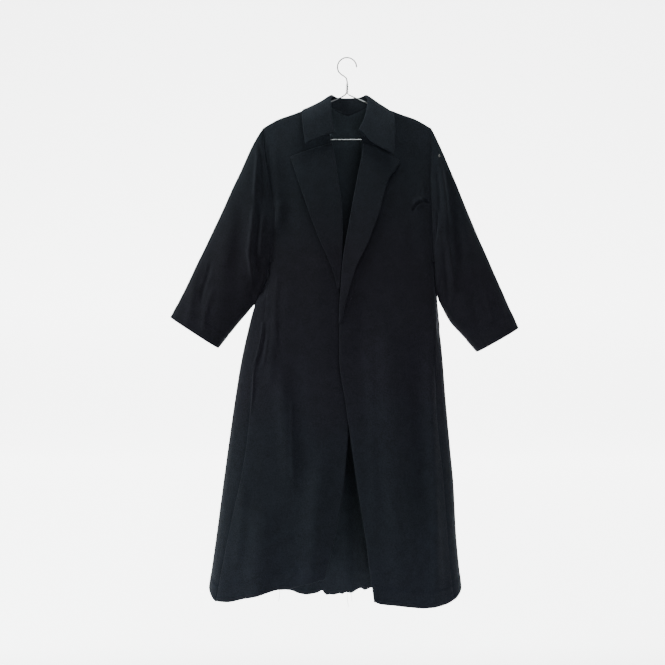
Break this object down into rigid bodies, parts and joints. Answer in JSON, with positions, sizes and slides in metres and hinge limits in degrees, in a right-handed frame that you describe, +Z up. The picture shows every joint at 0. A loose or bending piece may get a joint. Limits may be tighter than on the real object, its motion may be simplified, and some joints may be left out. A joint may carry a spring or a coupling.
{
  "type": "trench coat on a wire hanger",
  "caption": "Long open trench coat with notched collar, turned-back lapels and three-quarter sleeves, hanging on a wire hanger.",
  "frame": {"origin": "inside top of the hanger's hook, where a rail or nail carries it", "axes": "+X to the viewer's right, +Y towards the wall behind the coat, +Z up"},
  "size_m": [0.802, 0.0948, 1.2608],
  "materials": {
    "coat_cloth": "matt woven cloth",
    "hanger_wire": "bright drawn wire"
  },
  "bodies": {
    "root": {"front_right": "coat_cloth", "front_left": "coat_cloth", "back": "coat_cloth", "sleeve_right": "coat_cloth", "sleeve_left": "coat_cloth", "collar": "coat_cloth", "lapel_right": "coat_cloth", "lapel_left": "coat_cloth", "back_facing": "coat_cloth", "pocket_welt_right": "coat_cloth", "pocket_welt_left": "coat_cloth", "hanger": "hanger_wire"}
  },
  "joints": []
}
